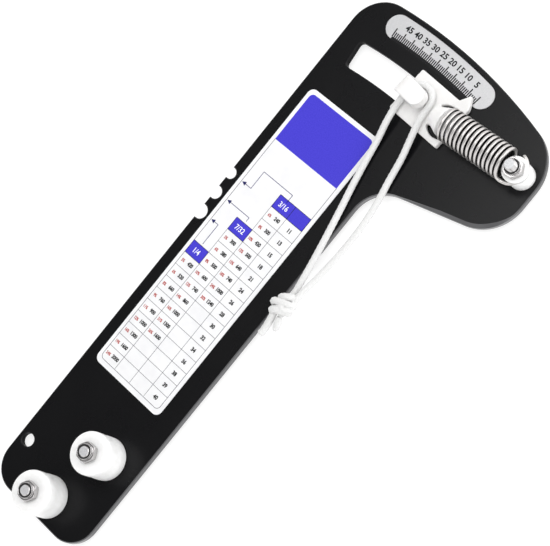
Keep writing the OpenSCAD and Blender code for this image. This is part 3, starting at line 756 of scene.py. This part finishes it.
# %% Rollers, bushing and washer
BOLT_R = 2.55
ROLLER_R, ROLLER_LOW, ROLLER_HIGH, ROLLER_FOOT, ROLLER_EDGE = 9.4, 3.35, 19.35, 0.4, 1.5
BORE_EDGE = 0.2
GROOVE_R, GROOVE_DEPTH, GROOVE_STEPS = 30.0, 0.15, 8
ROLLERS = {"lower_roller": (-5.08099, -14.5906), "upper_roller": (5.08099, 14.5906)}
DISC_R, DISC_EDGE, DISC_FOOT = 5.6, 0.4, 0.3
BUSHING_HIGH, HUB_HIGH, WASHER_HIGH = 11.13, 12.87, 14.67
NYLON_SHARP = 50


def turned(profile, at, sides=96):
    """A hollow turned part: profile points are radius and height, in order round the section."""
    return skin([level_ring(at, z, [r] * sides) for r, z in profile], hollow=True)


def roller_profile():
    """Section of a roller: a small round at the foot, a shallow waist for the cable, a wide round on top."""
    middle = (ROLLER_LOW + ROLLER_HIGH) / 2
    out = ROLLER_R + GROOVE_R - GROOVE_DEPTH
    half = math.sqrt(GROOVE_R ** 2 - (out - ROLLER_R) ** 2)
    rises = [half * s / GROOVE_STEPS for s in range(-GROOVE_STEPS, GROOVE_STEPS + 1)]
    waist = [(out - math.sqrt(GROOVE_R ** 2 - rise ** 2), middle + rise) for rise in rises]
    return ([(BOLT_R, ROLLER_LOW)]
            + quarter(ROLLER_R - ROLLER_FOOT, ROLLER_LOW + ROLLER_FOOT, ROLLER_FOOT, -90, 5)
            + waist + quarter(ROLLER_R - ROLLER_EDGE, ROLLER_HIGH - ROLLER_EDGE, ROLLER_EDGE, 0, 5)
            + [(BOLT_R + BORE_EDGE, ROLLER_HIGH), (BOLT_R, ROLLER_HIGH - BORE_EDGE)])


def disc_profile(radius, low, high, foot, edge, bore):
    """Section of a disc with a bore, its lower and upper edge rounded."""
    return ([(bore, low)] + quarter(radius - foot, low + foot, foot, -90, 4)
            + quarter(radius - edge, high - edge, edge, 0, 4) + [(bore, high)])


for node, at in ROLLERS.items():
    made = piece(node + "_nylon", turned(roller_profile(), at), nylon, nodes[node]["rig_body"],
                 NYLON_SHARP)
    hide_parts(node)
bushing_profile = disc_profile(DISC_R, PLATE_T, BUSHING_HIGH, DISC_FOOT, DISC_EDGE, BOLT_R)[:-1]
bushing_profile += [(HUB_R, BUSHING_HIGH), (HUB_R, HUB_HIGH), (BOLT_R, HUB_HIGH)]
bushing = piece("post_bushing", turned(bushing_profile, POST), nylon, "frame", NYLON_SHARP)
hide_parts("spring_bushing")
washer_profile = disc_profile(DISC_R, HUB_HIGH, WASHER_HIGH, DISC_EDGE, DISC_EDGE, BOLT_R)
washer = piece("post_washer", turned(washer_profile, POST), nylon, "frame", NYLON_SHARP)
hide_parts("spring_washer")
print("turned nylon parts: 4")

# %% [markdown]
# ## Lock nuts and bolts
# Each bolt ends in a lock nut: a hexagon with turned-off corners and a round collar, rolled in over a
# locking ring, whose near-black colour is painted shade of the gap round the bolt. The bolts' ends show a
# thread, made as a real helix of 0.8 mm pitch on a copy of the solid.

# %% Lock nuts
NUT_AF, NUT_HEX, NUT_H, COLLAR_R = 8.0, 2.9, 4.0, 3.4
NUT_FOOT_H, NUT_FOOT_IN = 0.25, 0.35
CROWN_H, CROWN_IN, CROWN_CURVE, CROWN_STEPS = 0.55, 0.62, 1.6, 6
COLLAR_FILLET, LIP_R = 0.12, 0.15
SEAT_TOP_R, SEAT_R, SEAT_DEPTH = 3.15, 3.13, 0.5
RING_R, RING_LOW, RING_HIGH, RING_EDGE, RING_BORE_R = 3.2, NUT_H - 0.6, NUT_H - 0.08, 0.1, BOLT_R + 0.01
ROLLER_NUT_LOW = 19.5
NUT_SHARP = 28


def nut_shape(at, low, sides=72):
    """A lock nut: the hexagon with its corners turned off, then the collar, then down into the bore."""
    sixth = math.pi / 3
    full = NUT_AF / 2 / math.cos(sixth / 2)
    turns = [2 * math.pi * k / sides for k in range(sides)]
    hexagon = [NUT_AF / 2 / math.cos(a % sixth - sixth / 2) for a in turns]
    corners = [(full - NUT_FOOT_IN, 0.0), (full + 1, NUT_FOOT_H)]
    for share in (k / CROWN_STEPS for k in range(CROWN_STEPS + 1)):
        corners.append((full + 0.1 - CROWN_IN * share ** CROWN_CURVE, NUT_HEX - CROWN_H + CROWN_H * share))
    rounds = [(COLLAR_R + COLLAR_FILLET, NUT_HEX), (COLLAR_R, NUT_HEX + COLLAR_FILLET)]
    rounds += quarter(COLLAR_R - LIP_R, NUT_H - LIP_R, LIP_R, 0, 4)
    rounds += [(SEAT_TOP_R, NUT_H - 0.05), (SEAT_R, NUT_H - SEAT_DEPTH), (BOLT_R, NUT_H - SEAT_DEPTH),
               (BOLT_R, 0.0)]
    rings = [level_ring(at, low + z, [min(r, side) for side in hexagon]) for r, z in corners]
    rings += [level_ring(at, low + z, [r] * sides) for r, z in rounds]
    return skin(rings, hollow=True)


# The locking ring is nylon; its near-black colour is painted shade of the gap round the bolt.
locking_ring_shade, shader, coords = start("painted_shade_nylon_locking_ring")
mottle(locking_ring_shade, shader, coords, 0.4, "#0c0c0e", "#161618")
fill(locking_ring_shade, shader, {"Roughness": 0.6})
NUTS = {"spring_post_nut": (POST, WASHER_HIGH), "lower_roller_nut": (ROLLERS["lower_roller"], ROLLER_NUT_LOW),
        "upper_roller_nut": (ROLLERS["upper_roller"], ROLLER_NUT_LOW)}
for node, (at, low) in NUTS.items():
    made = piece(node + "_hex", nut_shape(at, low), zinc, "frame", NUT_SHARP)
    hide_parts(node)
    ring = disc_profile(RING_R, low + RING_LOW, low + RING_HIGH, RING_EDGE, RING_EDGE, RING_BORE_R)
    piece(node + "_locking_ring", turned(ring, at, 48), locking_ring_shade, "frame")
print("lock nuts:", len(NUTS))

# %% Threaded bolts
THREAD_R, PITCH, THREAD_DEPTH, THREAD_STEP, CHAMFER = 2.5, 0.8, 0.38, 0.1, 0.45
POST_CUT, POST_TOP = 16.0, 22.17
ROLLER_CUT, ROLLER_TOP = 20.8, 23.9
CUT_OVERLAP = 0.2


def thread_shape(at, low, high, sides=48):
    """A threaded bolt end: the radius follows a helix and closes in over a chamfer at the top."""
    rings = []
    count = round((high - low) / THREAD_STEP)
    for i in range(count + 1):
        z = low + (high - low) * i / count
        limit = THREAD_R - max(0.0, CHAMFER - (high - z))
        waves = [abs(((z / PITCH - k / sides) % 1.0) * 2 - 1) for k in range(sides)]
        depths = [THREAD_DEPTH * min(1.0, max(0.0, 1.15 * wave - 0.1)) for wave in waves]
        rings.append(level_ring(at, z, [min(limit, THREAD_R - depth) for depth in depths]))
    return skin(rings)


def taken(shape):
    """Points and faces of an edited mesh, which is then let go."""
    shape.verts.index_update()
    points = [v.co.copy() for v in shape.verts]
    faces = [tuple(v.index for v in f.verts) for f in shape.faces]
    shape.free()
    return points, faces


def bolt(node, at, cut, high):
    """A copy of the solid bolt up to a height inside its nut, and from there a threaded end with a sawn top."""
    shape = clean_copy(node)
    geometry = shape.verts[:] + shape.edges[:] + shape.faces[:]
    bmesh.ops.bisect_plane(shape, geom=geometry, plane_co=(0, 0, cut * MM), plane_no=(0, 0, 1),
                           clear_outer=True)
    bmesh.ops.holes_fill(shape, edges=shape.edges)
    points, faces = taken(shape)
    whole = joined([([p / MM for p in points], faces), thread_shape(at, cut - CUT_OVERLAP, high)])
    made = piece(node + "_threaded", whole, zinc, "frame")
    made.modifiers.new("flat_faces", "WEIGHTED_NORMAL").keep_sharp = True
    made.data.materials.append(sawn)
    for face in made.data.polygons:
        face.material_index = 1 if face.center.z > (high - 0.01) * MM else 0
    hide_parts(node)


bolt("spring_post_bolt", POST, POST_CUT, POST_TOP)
for side in ("lower", "upper"):
    bolt(side + "_roller_bolt", ROLLERS[side + "_roller"], ROLLER_CUT, ROLLER_TOP)
for node in ("keeper_screw_inner", "keeper_screw_outer"):
    recoat(node, zinc)
print("bolts threaded: 3")

# %% [markdown]
# ## Scale
# A curved strip of satin aluminium in a shallow recess, with black printed lines and numbers. Its
# bead-blasted face has a grain of about 0.25 mm. Print is thin raised ink, so it stays crisp from any distance.

# %% Scale metal and inks
def satin_aluminium():
    material, shader, coords = start("blasted_satin_aluminium")
    grain = mottle(material, shader, coords, 0.25, "#bebec0", "#cccccd")
    bump = put(material, "ShaderNodeBump", {"Strength": 0.2, "Distance": 0.02 * MM}, {"Height": grain})
    fill(material, shader, {"Metallic": 0.7, "Roughness": 0.5}, {"Normal": bump.outputs["Normal"]})
    return material


def ink(name, dark, light):
    """Printed ink, with the faint mottle of a screen print, about 0.5 mm."""
    material, shader, coords = start(name)
    mottle(material, shader, coords, 0.5, dark, light, stops=(0.35, 0.65))
    fill(material, shader, {"Roughness": 0.45, "Specular IOR Level": 0.2})
    return material


black_ink = ink("black_print_ink", "#0e0e10", "#161618")
blue_ink = ink("blue_print_ink", "#3d35c2", "#453dca")
red_ink = ink("red_print_ink", "#a8322a", "#b43c32")
grey_ink = ink("grey_rule_ink", "#55555c", "#62626a")
navy_ink = ink("navy_arrow_ink", "#2a2a5e", "#34346a")
white_ink = ink("white_print_ink", "#f2f2f6", "#fafafc")
recoat("scale_plate", satin_aluminium())
print("inks ready")

# %% Print helpers
INK_T = 0.03
PRINT_SHARP = 30


def slab(outline, z):
    """A flat shape of ink from its outline, given against the clock, as points and faces."""
    count = len(outline)
    points = [Vector((x, y, height)) for height in (z, z + INK_T) for x, y in outline]
    faces = [tuple(reversed(range(count))), tuple(range(count, 2 * count))]
    faces += [(k, (k + 1) % count, count + (k + 1) % count, count + k) for k in range(count)]
    return points, faces


def stroke(a, b, width, z):
    """A straight printed line from a to b."""
    a, b = Vector(a), Vector(b)
    side = (b - a).orthogonal().normalized() * width / 2
    return slab([a - side, b - side, b + side, a + side], z)


def strokes(points, width, z):
    """Printed lines from each point to the next."""
    return [stroke(a, b, width, z) for a, b in zip(points, points[1:])]


def figures(text, at, z, style, turn=0.0):
    """Printed figures about a point, in Blender's own plain font. A style is height, stretch and boldness."""
    height, stretch, bold = style
    line = bpy.data.curves.new("figures", "FONT")
    line.body = text
    line.resolution_u = 3
    line.offset = bold
    holder = bpy.data.objects.new("figures", line)
    scene.collection.objects.link(holder)
    mesh = evaluated(holder, "figures")
    flat = bmesh.new()
    flat.from_mesh(mesh)
    bpy.data.meshes.remove(mesh)
    xs, ys = zip(*(v.co.xy for v in flat.verts))
    grow = height / (max(ys) - min(ys))
    middle = Vector(((max(xs) + min(xs)) / 2, (max(ys) + min(ys)) / 2))
    bmesh.ops.remove_doubles(flat, verts=flat.verts, dist=1e-5)
    bmesh.ops.dissolve_limit(flat, angle_limit=0.01, verts=flat.verts, edges=flat.edges)
    rise = bmesh.ops.extrude_face_region(flat, geom=flat.faces[:])
    for v in rise["geom"]:
        if isinstance(v, bmesh.types.BMVert):
            v.co.z += 1.0
    bmesh.ops.recalc_face_normals(flat, faces=flat.faces[:])
    points, faces = taken(flat)
    cos, sin = math.cos(turn), math.sin(turn)
    placed = []
    for p in points:
        x, y = (p.x - middle.x) * grow * stretch, (p.y - middle.y) * grow
        top = INK_T if p.z > 0.5 else 0
        placed.append(Vector((at[0] + x * cos - y * sin, at[1] + x * sin + y * cos, z + top)))
    return placed, faces


print("print helpers ready")

# %% [markdown]
# The scale runs from 0 at its right end to 50 at its left, with a line for each unit, a longer one for each
# five and a number for each five between. Each number stands upright towards the outer edge.

# %% Scale print
RECESS_DEPTH, SCALE_T = 0.5, 0.45
SCALE_Z = PLATE_T - RECESS_DEPTH + SCALE_T
SCALE_ZERO, SCALE_STEP, SCALE_UNITS = -8.47, 0.2472, 50
STRIP_R, TICK_FOOT, TICK_SHORT, TICK_LONG, TICK_W = 227.36, 228.6, 2.4, 4.0, 0.58
NUMBER_R, NUMBER_STYLE = 235.0, (2.8, 1.05, 0.03)


def polar(radius, degrees):
    """A point at a radius from the roller midpoint, some degrees to the left of the Y axis."""
    a = math.radians(degrees)
    return (-radius * math.sin(a), radius * math.cos(a))


angles = [SCALE_ZERO + SCALE_STEP * unit for unit in range(SCALE_UNITS + 1)]
marks = []
for unit, angle in enumerate(angles):
    reach = TICK_LONG if unit % 5 == 0 else TICK_SHORT
    marks.append(stroke(polar(TICK_FOOT, angle), polar(TICK_FOOT + reach, angle), TICK_W, SCALE_Z))
strip = [polar(TICK_FOOT, a) for a in angles] + [polar(STRIP_R, a) for a in reversed(angles)]
marks.append(slab(strip, SCALE_Z))
for unit in range(5, SCALE_UNITS, 5):
    angle = angles[unit]
    marks.append(figures(str(unit), polar(NUMBER_R, angle), SCALE_Z, NUMBER_STYLE, math.radians(angle)))
piece("scale_print", joined(marks), black_ink, "frame", PRINT_SHARP)
print("scale marks:", len(marks))

# %% [markdown]
# ## Label
# A white film with a printed table: cable sizes in blue cells, loads in black and shares in red. The wording
# of the real one is left off, and the numbers are plain ones of the same kind.

# %% Label film
film, shader, coords = start("white_polyester_film")
waves = mottle(film, shader, coords, 6.0, "#e8e8ea", "#efeff0")
gloss = put(film, "ShaderNodeMapRange", {"To Min": 0.3, "To Max": 0.4}, {"Value": waves})
fill(film, shader, {"IOR": 1.58}, {"Roughness": gloss.outputs["Result"]})
recoat("rating_label", film)
print("material:", film.name)

# %% [markdown]
# The table has three columns of loads and one of scale readings. Each entry of the loads gives its column,
# the row of its heading, the loads from there down, their shares of the breaking load and the cable's size.

# %% Label table
LABEL_T = 0.25
LABEL_Z = PLATE_T + LABEL_T
OVER_Z = LABEL_Z + INK_T
COLUMNS = [-28.2, -18.9, -9.3, 0.1, 9.4]
TABLE_LOW, ROW = 44.9, 6.4
HEAD_LOW, HEAD_HIGH, HEAD_R = 163.9, 188.8, 2.2
SCALE_READINGS = [11, 13, 15, 18, 21, 24, 26, 28, 30, 32, 34, 36, 38, 39, 40]
LOADS = {2: (15, [240, 300, 420, 500, 640, 740, 1000, 1240], [6, 8, 10, 12, 15, 18, 24, 30], "3/16"),
         1: (12, [300, 380, 500, 600, 740, 860, 1000, 1300, 1600], [5, 6, 8, 10, 12, 14, 16, 21, 26], "7/32"),
         0: (9, [420, 520, 660, 760, 900, 1000, 1300, 1600, 2000], [5, 6, 8, 9, 11, 12, 16, 19, 24], "1/4")}
SIZE_STYLE, READING_STYLE = (2.5, 0.86, 0.012), (2.0, 0.9, 0.05)
LOAD_STYLE, LOAD_X, LOAD_Y = (1.9, 0.82, 0.05), 6.3, 0.2
SHARE_STYLE, SHARE_X, SHARE_Y = (1.5, 0.75, 0.035), 2.1, -0.1
ARC_STEPS = 6


def row_y(k):
    """Height of the line under row k of the table."""
    return TABLE_LOW + ROW * k


def cell(x0, x1, low):
    """Corners of a heading's cell, against the clock."""
    return [(x0, row_y(low)), (x1, row_y(low)), (x1, row_y(low + 1)), (x0, row_y(low + 1))]


left, right = COLUMNS[0], COLUMNS[-1]
header = [(left, HEAD_LOW), (right, HEAD_LOW)]
header += quarter(right - HEAD_R, HEAD_HIGH - HEAD_R, HEAD_R, 0, ARC_STEPS)
header += quarter(left + HEAD_R, HEAD_HIGH - HEAD_R, HEAD_R, 90, ARC_STEPS)
cells = [cell(COLUMNS[2], right, 15), cell(COLUMNS[1], COLUMNS[2], 12), cell(COLUMNS[0], COLUMNS[1], 9)]
blue = [slab(shape, LABEL_Z) for shape in [header] + cells]
black, red, white = [], [], []
for column, (top, loads, shares, size) in LOADS.items():
    x0, x1 = COLUMNS[column], COLUMNS[column + 1]
    white.append(figures(size, ((x0 + x1) / 2, row_y(top + 0.5)), OVER_Z, SIZE_STYLE))
    for k, (load, share) in enumerate(zip(loads, shares)):
        y = row_y(top - 0.5 - k)
        black.append(figures(str(load), (x0 + LOAD_X, y + LOAD_Y), LABEL_Z, LOAD_STYLE))
        red.append(figures(str(share) + "%", (x0 + SHARE_X, y + SHARE_Y), LABEL_Z, SHARE_STYLE))
for k, reading in enumerate(SCALE_READINGS):
    black.append(figures(str(reading), ((COLUMNS[3] + right) / 2, row_y(14.5 - k)), LABEL_Z, READING_STYLE))
print("label figures:", len(black) + len(red) + len(white))

# %% [markdown]
# Thin grey rules part the rows and columns and frame the table, black lines edge the blue cells, and three
# arrows lead from the headings to the notches in the plate's edge.

# %% Label lines
RULE_W, FRAME_W, ARROW_W = 0.18, 0.22, 0.28
FOOT_R, FOOT_LOW = 2.0, TABLE_LOW - 0.3
ARROWS = [[(-4.6, 146.1), (-4.6, 150.1), (-22.3, 150.1), (-22.3, 141.1), (-26.3, 141.1)],
          [(-14.1, 129.1), (-14.1, 131.1), (-26.3, 131.0)],
          [(-23.6, 109.8), (-23.6, 120.3), (-26.5, 120.3)]]
ARROW_TIP, ARROW_BACK, ARROW_HALF = 1.4, 0.6, 1.0

rules = []
for column, (top, *_) in LOADS.items():
    x = COLUMNS[column + 1]
    rules.append(stroke((x, TABLE_LOW), (x, row_y(top)), RULE_W, LABEL_Z))
for k in range(1, 15):
    first = 0 if k < 9 else 1 if k < 12 else 2
    rules.append(stroke((COLUMNS[first], row_y(k)), (right, row_y(k)), RULE_W, LABEL_Z))
for column, low in ((2, 13), (1, 10)):
    x = COLUMNS[column]
    rules.append(stroke((x, row_y(low)), (x, row_y(low + 2)), RULE_W, LABEL_Z))
edge = [(left, HEAD_LOW)] + quarter(left + FOOT_R, FOOT_LOW + FOOT_R, FOOT_R, 180, ARC_STEPS)
edge += quarter(right - FOOT_R, FOOT_LOW + FOOT_R, FOOT_R, 270, ARC_STEPS) + [(right, HEAD_LOW)]
rules += strokes(edge, FRAME_W, LABEL_Z)

for shape in reversed(cells):
    black += strokes(shape + shape[:1], FRAME_W, OVER_Z)
black.append(stroke((COLUMNS[3], row_y(15)), (COLUMNS[3], row_y(16)), FRAME_W, OVER_Z))

arrows = []
for way in ARROWS:
    arrows += strokes(way, ARROW_W, LABEL_Z)
    x, y = way[-1]
    back = x + ARROW_BACK
    arrows.append(slab([(x - ARROW_TIP, y), (back, y - ARROW_HALF), (back, y + ARROW_HALF)], LABEL_Z))

PRINTS = [("blue", blue, blue_ink), ("black", black, black_ink), ("red", red, red_ink),
          ("white", white, white_ink), ("rules", rules, grey_ink), ("arrows", arrows, navy_ink)]
for name, parts, colour in PRINTS:
    piece("label_print_" + name, joined(parts), colour, "frame", PRINT_SHARP)
print("label lines:", len(rules), "arrows:", len(ARROWS))

# %% [markdown]
# ## Floor and light
# The photograph has a plain white ground and soft light from all sides. A pale floor lies just under the
# lowest piece, large soft lights hang round the gauge, and the world lifts the shadows. The world is bright
# at the sides and darker overhead, which keeps the glossy black plate black.

# %% Floor
FLOOR_REACH, FLOOR_GAP = 3.0, 0.00005


def pale_floor():
    material, shader, coords = start("pale_studio_floor")
    mottle(material, shader, coords, 60.0, "#a0a0a0", "#a4a4a4")
    fill(material, shader, {"Roughness": 0.9, "Emission Color": linear("#ffffff"), "Emission Strength": 0.75})
    return material


floor_z = cad_box[0].z - FLOOR_GAP
floor_mesh = bpy.data.meshes.new("studio_floor")
floor_corners = [(FLOOR_REACH * x, FLOOR_REACH * y, floor_z) for x, y in ((-1, -1), (1, -1), (1, 1), (-1, 1))]
floor_mesh.from_pydata(floor_corners, [], [(0, 1, 2, 3)])
floor_mesh.materials.append(pale_floor())
floor = bpy.data.objects.new("studio_floor", floor_mesh)
scene.collection.objects.link(floor)
print("floor at", round(floor_z / MM, 2), "mm")

# %% Lights and world
MIDDLE = (0.02, 0.11, 0.0)
ROOM_GREYS = [(0.0, 0.9), (0.6, 0.88), (0.88, 0.18), (1.0, 0.18)]


def soft_light(name, at, towards, size, watts):
    data = bpy.data.lights.new(name, "AREA")
    data.shape = "DISK"
    data.size = size
    data.energy = watts
    lamp = bpy.data.objects.new(name, data)
    lamp.location = at
    lamp.rotation_mode = "QUATERNION"
    lamp.rotation_quaternion = (Vector(towards) - Vector(at)).to_track_quat("-Z", "Y")
    scene.collection.objects.link(lamp)


soft_light("overhead_softbox", (-0.06, 0.36, 1.2), (-0.06, 0.36, 0.0), 0.8, 7.0)
soft_light("far_softbox", (0.5, 1.0, 0.5), MIDDLE, 1.2, 5.5)
soft_light("right_softbox", (0.95, 0.0, 0.45), MIDDLE, 1.2, 2.8)
soft_light("near_softbox", (0.0, -1.0, 0.35), MIDDLE, 1.2, 2.0)

world = bpy.data.worlds.new("white_room")
world.use_nodes = True
way = put(world, "ShaderNodeTexCoord")
height = put(world, "ShaderNodeSeparateXYZ", None, {"Vector": way.outputs["Generated"]})
walls = put(world, "ShaderNodeValToRGB", {"ramp": [(at, (grey, grey, grey, 1.0)) for at, grey in ROOM_GREYS]},
            {"Fac": height.outputs["Z"]})
fill(world, world.node_tree.nodes["Background"], {"Strength": 0.95}, {"Color": walls.outputs["Color"]})
scene.world = world
print("lights and world ready")

# %% [markdown]
# ## Finish

# %% Sizes and finish
print("scene finished")
